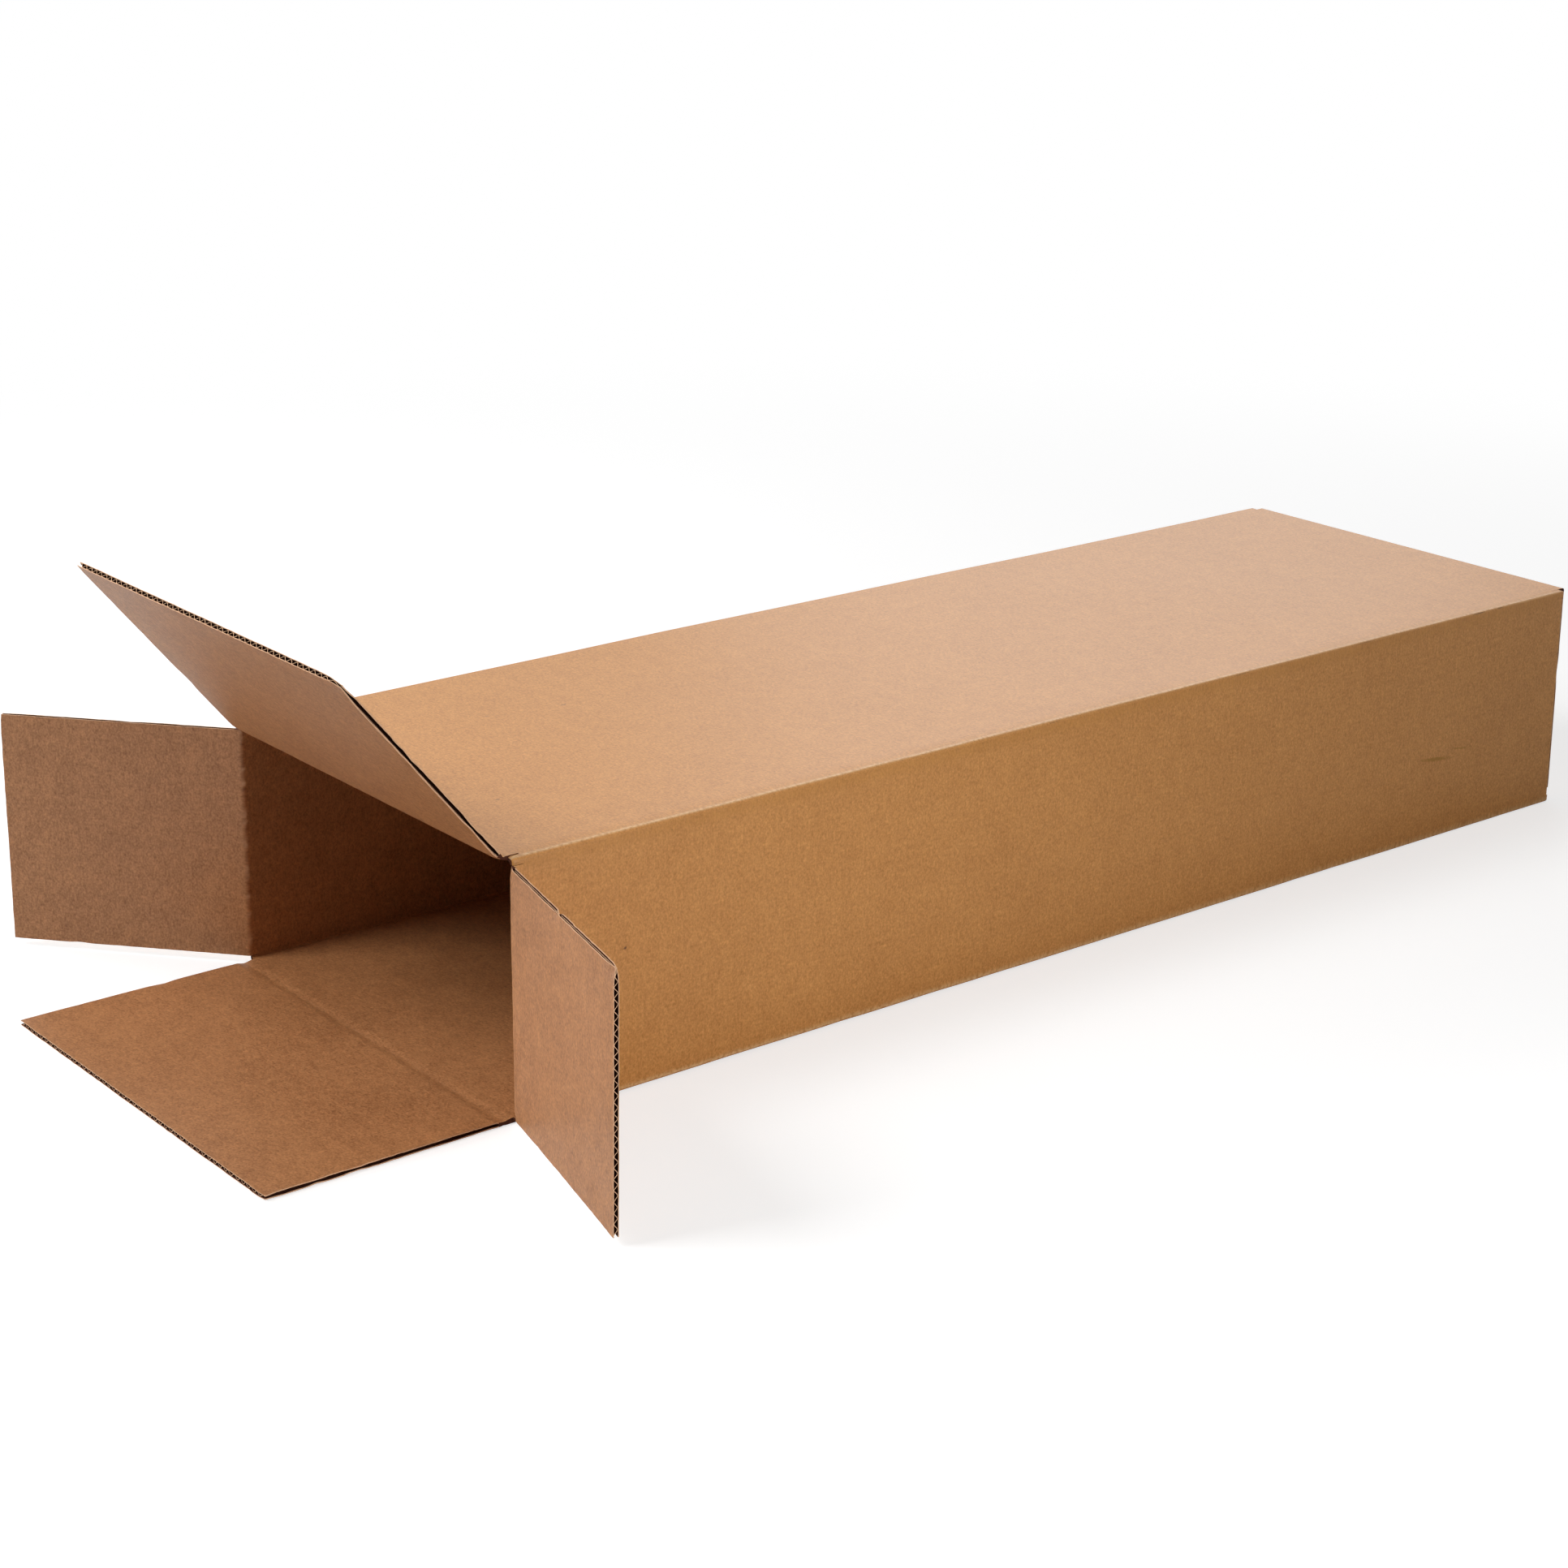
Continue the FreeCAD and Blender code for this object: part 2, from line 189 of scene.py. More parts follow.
flaps = {
    "topFlap": {
        "panel": "top", "end": -1, "score": box["topScore"], "depth": 194.0, "angle": 50.5,
        "dip": 0.7, "dipRun": 4.2, "endDips": (0.0, 1.2), "warp": (0.0, 0.0),
        "torn": 0.35, "flare": 0.1, "paintedScoreHighlight": 0.2, "seed": 11,
        "pinches": [(1, 184, 8, 0.5), (1, 108, 5, 0.35), (-1, 60, 9, 0.3), (1, 34, 6, 0.2)],
        "corner": {"edge": 1, "across": 15, "along": 10, "crush": 0.6, "bend": 0.15, "back": 5.0},
    },
    "bottomFlap": {
        "panel": "bottom", "end": -1, "score": box["bottomScore"], "depth": 190.0, "angle": 0.0,
        "dip": 0.8, "dipRun": 7.8, "endDips": (0.5, 0.5), "warp": (0.0, 0.0),
        "torn": 0.3, "flare": 0.05, "paintedScoreHighlight": 0.15, "seed": 23,
        "pinches": [(1, 120, 10, 0.35), (1, 150, 5, 0.25), (-1, 70, 8, 0.3)],
        "corner": {"edge": 1, "across": 10, "along": 8, "crush": 0.3, "bend": 0.0, "back": 0.8},
    },
    "leftFlap": {
        "panel": "left", "end": -1, "score": box["sideScore"], "depth": 196.0, "angle": 49.0,
        "dip": 0.0, "dipRun": 2.4, "endDips": (0.5, 0.5), "warp": (0.0, 0.0),
        "torn": 0.3, "flare": 0.05, "paintedScoreHighlight": 1.4, "seed": 37,
        "pinches": [(1, 90, 12, 0.3), (-1, 140, 9, 0.3)],
        "corner": {"edge": 1, "across": 8, "along": 7, "crush": 0.3, "bend": 0.0, "back": 0.7},
    },
    "rightFlap": {
        "panel": "right", "end": -1, "score": box["sideScore"], "depth": 196.0, "angle": 76.0,
        "dip": 1.3, "dipRun": 5.0, "endDips": (0.6, 1.2), "warp": (0.1, -2.0),
        "torn": 0.5, "flare": 0.05, "paintedScoreHighlight": 0.3, "seed": 41,
        "pinches": [(1, 92, 3.0, 1.1), (1, 119, 3, 0.3), (1, 196, 5, 0.7), (-1, 50, 9, 0.2)],
        "corner": {"edge": 1, "across": 8, "along": 7, "crush": 0.6, "bend": 0.15, "back": 0.8},
    },
    "rearTopFlap": {
        **rearFlap, "panel": "top", "score": box["rearTop"], "depth": 190.0, "torn": 0.12, "seed": 53,
        "pinches": [(1, 80, 12, 0.3), (-1, 120, 9, 0.35)],
        "corner": {"edge": -1, "across": 10, "along": 8, "crush": 0.35, "bend": 0.0, "back": 0.8},
    },
    "rearBottomFlap": {
        **rearFlap, "panel": "bottom", "score": box["rearBottom"], "depth": 190.0, "torn": 0.12, "seed": 59,
        "pinches": [(1, 100, 12, 0.3)],
        "corner": {"edge": 1, "across": 8, "along": 8, "crush": 0.2, "bend": 0.0, "back": 0.4},
    },
    "rearLeftFlap": {**rearSideFlap, "panel": "left", "seed": 61},
    "rearRightFlap": {**rearSideFlap, "panel": "right", "seed": 67},
}
creaseReach = 3.5  # the fold's own mesh runs this far onto a flap
hingeBlend = 1.5  # the turn happens within this distance of the score

def foldPlace(flap, across, along, depth):
    # across the panel, along from the score (negative on the panel), depth below the outer face
    panel = panels[flap["panel"]]
    across, along, depth = np.broadcast_arrays(across, along, depth)
    if flap["angle"] < 0:  # folded in and glued: the outer liner rolls round a radius
        radius = box["rearRadius"]
        share = np.clip((along + radius) / (2 * radius), 0, 1)
        turn = math.radians(flap["angle"]) * share
        beforeBend = np.minimum(along + radius, 0)
        afterBend = np.maximum(along - radius, 0)
        out = -radius + beforeBend - (radius - depth) * np.sin(turn) + afterBend * np.cos(turn)
        up = -radius + (radius - depth) * np.cos(turn) + afterBend * np.sin(turn)
    else:
        share = ease((along + hingeBlend) / (2 * hingeBlend))
        turn = math.radians(flap["angle"]) * share
        out = along * np.cos(turn) + depth * np.sin(turn)
        up = along * np.sin(turn) - depth * np.cos(turn)
    hinge = np.array([panel["x"], flap["end"] * flap["score"], panel["z"]])
    axes = np.array([panel["across"], (0, flap["end"], 0), panel["face"]], float)
    return hinge + np.stack([across, out, up], -1) @ axes

def blankPlace(flap, across, along, inner):
    panel = panels[flap["panel"]]
    across, along = np.broadcast_arrays(across, along)
    u = panel["blankMiddle"] + panel["blankTurn"] * across
    v = flap["end"] * (flap["score"] + along)
    return np.stack([u, v, np.full(u.shape, insideLayer * inner)], -1)

# How the board gives way at its scores and cut edges, in mm where nothing else is said.
crush = {
    "uneven": 0.12,  # share by which a score's depth and width wander
    "slotReach": 5.0,  # in from each end of a score, where it is pressed further
    "slotRun": 9.0,
    "ripple": 0.08,  # flutes that still show in the score
    "rippleRun": 2.5,
    "groove": 0.3,  # how far the outer face sinks at the score
    "grooveRun": 1.3,
    "edgeReach": 4.2,  # in from a cut edge, where the liners bend together
    "pinchDepth": 1.6,
    "hardestPinch": 0.92,
    "knife": 0.08,  # what the knife pressed in at the cut end
    "knifeUneven": 0.1,
    "knifeReach": 3.0,
    "cornerGap": 0.35,  # what a bumped corner leaves between its papers
    "bowLength": 85.0,
    "raggedReach": 3.0,
}

def boardFaces(flap, across, along):
    # depth of the outer and inner face, with the crushed score, the pinched edges and the corner
    half, depth, seed = panels[flap["panel"]]["span"] / 2, flap["depth"], flap["seed"]
    across, along = np.broadcast_arrays(np.asarray(across, float), np.asarray(along, float))
    outer = np.zeros(across.shape)
    inner = np.full(across.shape, board["thickness"])

    # score: the inner face is pressed down, most at its two ends
    run = flap["dipRun"] * (1 + crush["uneven"] * wander(across, 0, 23, seed + 1))
    dip = flap["dip"] * (1 + crush["uneven"] * wander(across, 0, 14, seed + 2))
    lowEnd = near(half + across, 0, crush["slotReach"])
    highEnd = near(half - across, 0, crush["slotReach"])
    ends = flap["endDips"][0] * lowEnd + flap["endDips"][1] * highEnd
    ends = ends * (1 - ease(np.abs(along) / crush["slotRun"]))
    ripple = crush["ripple"] * np.sin(2 * math.pi * across / board["flutePitch"])
    ripple = ripple * near(along, 0, crush["rippleRun"])
    if flap["angle"] >= 0:
        inner = inner - dip * (1 - ease(np.abs(along) / run)) - ends - ripple
        outer = outer + crush["groove"] * near(along, 0, crush["grooveRun"])

    # cut edges: past the last flute the liners are pinched together here and there
    beyondScore = ease((along - 2) / 6)
    for edge in (-1, 1):
        fromEdge = np.clip(half - edge * across, 0, None)
        reach = np.exp(-((fromEdge / crush["edgeReach"]) ** 2)) * beyondScore
        pinch = 0.1 * wander(along, 0, 13, seed + 5 + edge)
        pinch = pinch + 0.08 * wander(along, 0, 5, seed + 9 + edge)
        for pinchEdge, place, width, strength in flap["pinches"]:
            if pinchEdge == edge:
                pinch = pinch + strength * near(along, place, width)
        squeeze = crush["pinchDepth"] * np.clip(pinch, 0, crush["hardestPinch"])
        squeeze = (squeeze - flap["flare"]) * reach
        outer, inner = outer + squeeze, inner - squeeze

    # cut end: pressed a little by the knife, flute by flute
    atEnd = np.exp(-(((depth - along) / crush["knifeReach"]) ** 2))
    knife = crush["knife"] + crush["knifeUneven"] * wander(across, 0, board["flutePitch"], seed + 13)
    outer, inner = outer + knife * atEnd, inner - knife * atEnd

    # bumped corner
    corner = flap["corner"]
    fromEdge = np.clip(half - corner["edge"] * across, 0, None)
    toward = np.exp(-((fromEdge / corner["across"]) ** 2) - ((depth - along) / corner["along"]) ** 2)
    toward = np.where(corner["edge"] * across > 0, toward, 0)
    room = inner - outer - 2 * board["liner"] - crush["cornerGap"]
    outer = outer + 0.5 * room * corner["crush"] * toward
    inner = inner - 0.5 * room * corner["crush"] * toward
    lift = corner["bend"] * toward ** 2

    # the whole flap is never quite flat, and one corner can lean out
    cross = (across / half + 1) / 2
    lean = flap["warp"][0] * cross ** 2 + flap["warp"][1] * (1 - cross)
    bow = lean * (np.clip(along, 0, None) / depth) ** 2
    bow = bow + board["room"] * wander(across, along, crush["bowLength"], seed + 17) * ease(along / 60)
    if flap["angle"] <= 0:  # glued down, or flat on the table
        bow = bow * 0
        lift = lift * 0
    return outer - bow - lift, inner - bow - lift

def cutPlace(flap, across, along):
    # moves points near the cut edges: ragged sides, an uneven cut end and the rounded corner
    half, depth, seed = panels[flap["panel"]]["span"] / 2, flap["depth"], flap["seed"]
    side = np.sign(across)
    fromEdge = half - np.abs(across)
    raggedHere = np.exp(-((fromEdge / crush["raggedReach"]) ** 2)) * ease((along - 1) / 5)
    ragged = 0.6 * wander(along, side * 40, 9, seed + 21)
    ragged = ragged + 0.4 * wander(along, side * 40, 3.4, seed + 22)
    ragged = 0.6 * flap["torn"] * (ragged - 1.1)
    for pinchEdge, place, width, strength in flap["pinches"]:
        ragged = ragged - 0.9 * strength * near(along, place, width * 0.6) * (side == pinchEdge)
    movedAcross = across + side * raggedHere * ragged
    endHere = np.exp(-(((depth - along) / crush["knifeReach"]) ** 2))
    endShift = 0.22 * wander(across, 0, 6, seed + 25) - 0.15
    corner = flap["corner"]
    beside = np.clip(half - corner["edge"] * across, 0, None)
    rounded = np.exp(-((beside / (corner["across"] * 0.42)) ** 2))
    endShift = endShift - corner["back"] * rounded * (side == corner["edge"])
    return movedAcross, along + endHere * endShift

def flapColumns(span):
    close = [0, 0.5, 1.2, 2.2, 3.6, 5.4]
    half = span / 2
    middle = np.arange(-half + 7.8, half - 7.7, board["flutePitch"] / 2)
    return np.concatenate([[-half + c for c in close], middle, [half - c for c in reversed(close)]])

def addLiner(sheets, flap, across, along, inner):
    span = panels[flap["panel"]]["span"]
    grid = np.meshgrid(across, along, indexing="xy")
    outerFace, innerFace = boardFaces(flap, *grid)
    moved = cutPlace(flap, *grid)
    frayed = board["frayed"] * near(span / 2 - np.abs(grid[0]), 0, 1.0)
    thick = board["liner"] + frayed * (1 + 0.5 * wander(grid[1], grid[0], 5, flap["seed"] + 51 + inner))
    shown = innerFace if inner else outerFace
    hidden = innerFace - thick if inner else outerFace + thick
    flat = blankPlace(flap, *moved, inner)
    finishes = (1 if inner else 0, 2, 3)
    addSheet(sheets, foldPlace(flap, *moved, shown), foldPlace(flap, *moved, hidden), flat, flat, finishes)

def addFluting(sheets, flap, span, start):
    # the wavy sheet between the liners, cut off anywhere along its wave at the side edges
    seed, pitch = flap["seed"], board["flutePitch"]
    half = span / 2 - board["edgeChannel"]
    across = np.linspace(-half, half, int(2 * half / pitch * board["flutePoints"]))
    last = flap["depth"] - 0.35
    along = [start, start + 6, start + 14, flap["depth"] * 0.5, last - 22, last - 9, last - 3, last]
    along = np.array(along)
    w, s = np.meshgrid(across, along, indexing="xy")
    outerFace, innerFace = boardFaces(flap, w, s)
    middle = (outerFace + innerFace) / 2
    swing = np.clip((innerFace - outerFace) / 2 - board["liner"] - board["fluting"] / 2, 0.05, None)
    atEnd = np.exp(-(((last - s) / 8) ** 2))
    shift = 0.7 * wander(w, 0, 26, seed + 31) + 0.45 * atEnd * wander(w, 0, 9, seed + 32)
    phase = 2 * math.pi * (w + shift) / pitch
    wave = 0.62 * np.sin(phase) + 0.38 * np.arcsin(np.sin(phase)) * 2 / math.pi
    depth = middle + swing * wave
    slopeW, slopeT = np.gradient(w, axis=1), np.gradient(depth, axis=1)
    long = np.hypot(slopeW, slopeT)
    push = board["fluting"] / 2
    offW, offT = -slopeT / long * push, slopeW / long * push
    _, moved = cutPlace(flap, w, s)
    moved = moved - 0.12 * atEnd * (1 + wander(w, 0, 5, seed + 33))
    face = foldPlace(flap, w - offW, moved, depth - offT)
    back = foldPlace(flap, w + offW, moved, depth + offT)
    flat = blankPlace(flap, w, moved, 0.5)
    addSheet(sheets, face, back, flat, flat, (2, 2, 3))

def addFlap(sheets, flap, start=creaseReach):
    span = panels[flap["panel"]]["span"]
    across = flapColumns(span)
    depth = flap["depth"]
    close = start + np.array([0, 1.0, 2.0, 3.2, 4.6])
    run = np.linspace(close[-1] + 1.8, depth - 4, int((depth - 10 - start) / 2.8))
    along = np.concatenate([close, run, [depth - 2.6, depth - 1.5, depth - 0.7, depth]])
    addLiner(sheets, flap, across, along, 0)
    addLiner(sheets, flap, across, along, 1)
    addFluting(sheets, flap, span, start + 0.5)

def addCrease(sheets, flap):
    # both liners across the score, as one pressed strip
    span = panels[flap["panel"]]["span"]
    across = flapColumns(span)
    first = -(flap["score"] - box["tubeEnd"])
    fine = np.linspace(-6, creaseReach, 25)
    before = np.linspace(first, -6.6, max(3, int((-6.6 - first) / 1.6) + 2))
    along = np.concatenate([before, fine])
    w, s = np.meshgrid(across, along, indexing="xy")
    outerFace, innerFace = boardFaces(flap, w, s)
    movedW, movedS = cutPlace(flap, w, s)
    face = foldPlace(flap, movedW, movedS, outerFace)
    back = foldPlace(flap, movedW, movedS, innerFace)
    # a broken pale line at the score: on the outer face rubbed liner, on the inner face a painted highlight
    # where the score's edge catches light
    broken = np.clip(0.3 + 1.2 * wander(w, 0, 4.5, flap["seed"] + 41), 0, 1)
    paintedScoreHighlight = flap["paintedScoreHighlight"] * near(s, -0.4, 0.6) * broken
    outside = 0.5 * near(s, 0, 2.2) * broken
    addSheet(sheets, face, back, blankPlace(flap, movedW, movedS, 0),
             blankPlace(flap, movedW, movedS, 1), (0, 1, 2), outside, paintedScoreHighlight)

# The tube is one strip round four panels, from the glued cut edge to the fold of the glue tab.
tube = {
    "rows": 96,
    "wideColumns": 90,
    "sideColumns": 44,
    "mouthFold": {"radius": 4.2, "sink": 0.7, "run": 5.5},  # the faces sink a little beside a fold
    "rearFold": {"radius": 2.0, "sink": 0.25, "run": 3.5},
    "tabRadius": 1.8,
    "innerFold": 1.7,  # how much of the inner liner is folded in on itself
    "foldReach": 12.0,  # beside a long fold, where the panels stay straight
    "calmRun": 70.0,  # at both ends, where the unevenness dies away
    # along a long fold: a pale line on one side, partly stretched liner and partly a painted highlight, and
    # on the other a golden band of painted light where the face bulges up beside the fold: strength, place,
    # width
    "foldWearAndLight": ((0.85, -3.2, 1.9), (-0.4, 6.0, 5.0)),
    "bow": 0.55,  # unevenness of the large panels
    "bowLength": 150.0,
    "foldWave": 0.3,
    "foldWaveLength": 34.0,
    "seed": 71,
}
glueTab = {"reach": 38.0, "setBack": 14.0, "slant": 8.0, "rows": 40}

def panelStations(start, slotStart, slotStop, stop, count):
    # places across one panel, closer together beside its two long edges
    close = np.array([0, 1.5, 3.4, 6.0])
    head = slotStart + close
    tail = slotStop - close[::-1]
    parts = [head, np.linspace(head[-1], tail[0], count + 1)[1:-1], tail]
    if slotStart > start:
        parts.insert(0, np.linspace(start, slotStart, 4)[:-1])
    if stop > slotStop:
        parts.append(np.linspace(slotStop, stop, 4)[1:])
    return np.concatenate(parts)

def tubeSection(fold):
    # outer points, inner points, place on the blank and nearness to a fold, column by column
    width, height, thick = box["width"], box["height"], board["thickness"]
    slotWide = (width - box["wideSpan"]) / 2
    slotSide = (height - box["sideSpan"]) / 2
    tabHeight = height - thick
    lengths = (width, height, width, tabHeight)
    ways = np.array([(1, 0), (0, -1), (-1, 0), (0, 1), (1, 0)], float)
    radii = (0.0, fold["radius"], fold["radius"], fold["radius"], tube["tabRadius"])
    foldIn = thick + tube["innerFold"]
    corner = np.array([-width / 2, height])
    outer, inner, flat, closeness = [], [], [], []
    u = -width / 2
    for i, length in enumerate(lengths):
        way, inward = ways[i], ways[i + 1]
        slot = slotWide if i in (0, 2) else slotSide
        slotStop = height - slotSide if i == 3 else length - slot
        count = tube["wideColumns"] if i in (0, 2) else tube["sideColumns"]
        before, after = radii[i], radii[i + 1]
        for s in panelStations(before, slot, slotStop, length - after, count):
            sink = 0.0 if i == 0 else fold["sink"] * math.exp(-(((s - before) / fold["run"]) ** 2))
            fromNext = length - after - s
            sink += 0.0 if i == 3 else fold["sink"] * math.exp(-((fromNext / fold["run"]) ** 2))
            innerAt = np.clip(s, 0 if i == 0 else foldIn, length - foldIn)
            outer.append(corner + way * s + inward * sink)
            inner.append(corner + way * innerAt + inward * thick)
            flat.append(u + s)
            fromFold = min(length - s, s if i else length)
            closeness.append(math.exp(-((fromFold / tube["foldReach"]) ** 2)))
        corner = corner + way * length
        u += length

        middle = corner - after * way + after * inward
        bend = after - (0.0 if i == 3 else fold["sink"])
        inside = corner - thick * way + thick * inward
        for share in np.arange(1, 8) / 8:
            angle = share * math.pi / 2
            outer.append(middle + bend * (way * math.sin(angle) - inward * math.cos(angle)))
            first = inside - tube["innerFold"] * way
            last = inside + tube["innerFold"] * inward
            inner.append((1 - share) ** 2 * first + 2 * share * (1 - share) * inside + share ** 2 * last)
            flat.append(u + 2 * after * (share - 0.5))
            closeness.append(1.0)

    return [np.array(part) for part in (outer, inner, flat, closeness)]

def addTubeLength(sheets, sections, along, columns, uneven, inset=0.0, rim=2):
    # sections are those at the mouth and at the rear, and the tube changes evenly between them
    toRear = ease((along / box["tubeEnd"] + 1) / 2)[:, None, None]
    mouth, rear = sections
    outer, inner = (mouth[k][None] * (1 - toRear) + rear[k][None] * toRear for k in (0, 1))
    flat, closeness = mouth[2][columns], mouth[3][columns]
    y, u = np.meshgrid(along, flat, indexing="ij")
    step = np.gradient(outer, axis=1)
    outward = np.stack([-step[..., 1], step[..., 0]], -1)
    outward = (outward / np.linalg.norm(outward, axis=2, keepdims=True))[:, columns]
    outer, inner = outer[:, columns], inner[:, columns]
    calmEnds = ease((box["tubeEnd"] - np.abs(y)) / tube["calmRun"]) if uneven else np.zeros(y.shape)
    bow = tube["bow"] * wander(u, y, tube["bowLength"], tube["seed"]) * calmEnds * (1 - closeness)
    wave = (wander(0 * u, y, tube["foldWaveLength"], tube["seed"] + 1)
            + 0.6 * wander(u, y, 11, tube["seed"] + 2)) * tube["foldWave"] * closeness * calmEnds
    move = (bow - 0.3 * np.abs(wave) + 0.5 * wave - np.reshape(inset, (-1, 1)))[..., None] * outward
    under = inner + move * (1 - closeness[None, :, None])
    over = outer + move
    face = np.stack([over[..., 0], y, np.maximum(over[..., 1], 0)], -1)
    back = np.stack([under[..., 0], y, under[..., 1]], -1)
    # beside each long fold: a pale line, stretched liner plus a painted highlight, and a golden band of
    # painted light
    wearAndPaintedLight = 0 * u
    firstFold = box["width"] / 2
    for fold in (firstFold, firstFold + box["height"], 1.5 * box["width"] + box["height"]):
        for strength, place, width in tube["foldWearAndLight"]:
            wearAndPaintedLight = wearAndPaintedLight + strength * near(u, fold + place, width)
    blank = np.stack([u, y, 0 * u], -1)
    addSheet(sheets, face, back, blank, blank + np.array([0, 0, insideLayer]), (0, 1, rim), wearAndPaintedLight)

def addTube(sheets):
    sections = [tubeSection(tube["mouthFold"]), tubeSection(tube["rearFold"])]
    x, z = sections[0][0].T
    number = np.arange(len(x))
    along = np.linspace(-box["tubeEnd"], box["tubeEnd"], tube["rows"])
    addTubeLength(sheets, sections, along, number, True)
    # the corners run on between the flaps, to the ends of the slots
    touch = 1e-6
    beside = np.abs(x) >= box["wideSpan"] / 2 - touch
    slotSide = (box["height"] - box["sideSpan"]) / 2
    above, below = z >= box["height"] - slotSide - touch, z <= slotSide + touch
    second = number > len(x) / 2
    plainCorners = [beside & (x > 0) & above, beside & (x > 0) & below, beside & (x < 0) & below]
    tabCorner = beside & (x < 0) & above & second
    cutCorner = beside & (x < 0) & above & ~second
    # the glue tab stands back at the mouth, so its corner ends with the tube there
    atMouth = plainCorners + [cutCorner]
    atRear = plainCorners + [tabCorner, cutCorner]
    rounding = np.array([0, 0, 0, 0.3, 1.1])
    ends = ((-1, box["mouthCornerEnd"], atMouth, 2), (1, box["rearCornerEnd"], atRear, 0))
    for end, stop, corners, rim in ends:
        run = np.array([box["tubeEnd"], box["tubeEnd"] + 2, stop - 2.4, stop - 0.9, stop])
        for corner in corners:
            addTubeLength(sheets, sections, end * run, corner, False, rounding, rim)

def addGlueTab(sheets):
    # folded from the left panel and glued under the top panel, with slanting ends
    left = -box["width"] / 2 + tube["tabRadius"]
    right = -box["width"] / 2 + board["thickness"] + glueTab["reach"]
    under = box["height"] - board["thickness"]
    reach = box["sideScore"] - glueTab["setBack"] - np.linspace(0, glueTab["slant"], 8)
    y = np.linspace(-1, 1, glueTab["rows"])[:, None] * reach[None]
    x = np.broadcast_to(np.linspace(left, right, 8)[None], y.shape)
    face = np.stack([x, y, np.full(y.shape, under - 0.02)], -1)
    back = np.stack([x, y, np.full(y.shape, under - board["thickness"])], -1)
    flat = np.stack([2 * (box["width"] + box["height"]) + x - left, y, 0 * y], -1)
    addSheet(sheets, face, back, flat, flat + np.array([0, 0, insideLayer]), (0, 1, 3))

def toLinear(hexColour):
    values = [int(hexColour[i:i + 2], 16) / 255 for i in (1, 3, 5)]
    return [v / 12.92 if v <= 0.04045 else ((v + 0.055) / 1.055) ** 2.4 for v in values] + [1.0]

def addNode(material, kind, settings=None, **links):
    # a setting or link is named after its socket; i0, i1 and so on are sockets by number
    tree = material.node_tree
    node = tree.nodes.new(kind)
    for name, value in (settings or {}).items():
        if isinstance(name, int) or name in node.inputs:
            node.inputs[name].default_value = value
        else:
            setattr(node, name, value)
    for name, source in links.items():
        numbered = name[0] == "i" and name[1:].isdigit()
        tree.links.new(source, node.inputs[int(name[1:])] if numbered else node.inputs[name])
    return node

# Kraft liner: unbleached softwood pulp, pressed and dried on a paper machine.
# To the eye it is matt brown and finely mottled, with a pale sheen where it is seen at a low angle.
kraft = {
    # golden paints the light on a face bulging up beside a long fold; pale is rubbed liner and also paints
    # highlights along folds and scores
    "outside": {"light": "#E1A15A", "dark": "#B27535", "golden": "#BE8130", "pale": "#EBC692",
                "stripe": 0.018},
    "inside": {"light": "#C38A5A", "dark": "#825330", "golden": "#7E5230", "pale": "#D9AE88",
               "stripe": 0.014},
    # each layer of the mottling: size in mm, stretch across the flutes, detail, and strength
    "mottling": (
        (90.0, 1.0, 2.0, 0.30),
        (13.0, 1.2, 2.0, 0.45),
        (3.0, 1.4, 3.0, 1.1),  # real fibre clumps are half this, drawn coarser so that they show
        (1.6, 1.2, 2.0, 1.5),
    ),
    "bumpHeight": 0.12,  # mm
    "bumpStrength": 0.35,
    "shive": "#6B4423",
    "shiveSpacing": 26.0,
    "shiveEdge": (0.012, 0.028),  # share of the spacing from a shive's solid middle to its rim
    "shivesLeftOut": 0.6,
    "roughness": 0.42,
    "ior": 1.5,
}
# small marks on this box: place on the blank, half length and half width, turn, colour and strength
marks = [
    ((-471.7, 279.3), (2.0, 1.1), 0, "#5A3216", 0.9),
    ((-404.8, -85.8), (2.2, 1.1), 0, "#A9794A", 0.7),
    ((-340.9, -74.0), (2.4, 1.3), 0, "#8E5F33", 0.8),
    ((-506.4, 83.1), (2.2, 1.3), 0, "#94673B", 0.7),
    ((402.0, 316.6), (20.0, 2.0), 7, "#A8741F", 0.8),
    ((436.0, 313.0), (14.0, 1.2), 7, "#A8741F", 0.5),
    ((448.0, 191.4), (8.0, 1.4), 0, "#6A451C", 0.85),
    ((476.0, 191.2), (5.0, 1.2), 0, "#6A451C", 0.7),
    ((525.0, 191.4), (40.0, 2.0), -1, "#DDA765", 0.6),
    ((300.0, 191.6), (12.0, 1.0), 0, "#7B5226", 0.5),
    ((150.0, 191.4), (9.0, 1.0), 0, "#7B5226", 0.5),
    ((-60.0, 191.6), (6.0, 0.9), 0, "#7B5226", 0.5),
]

def newPaper(name):
    material = bpy.data.materials.new(name)
    material.use_nodes = True
    material.node_tree.nodes.clear()
    return material, material.node_tree.nodes.new("ShaderNodeOutputMaterial")

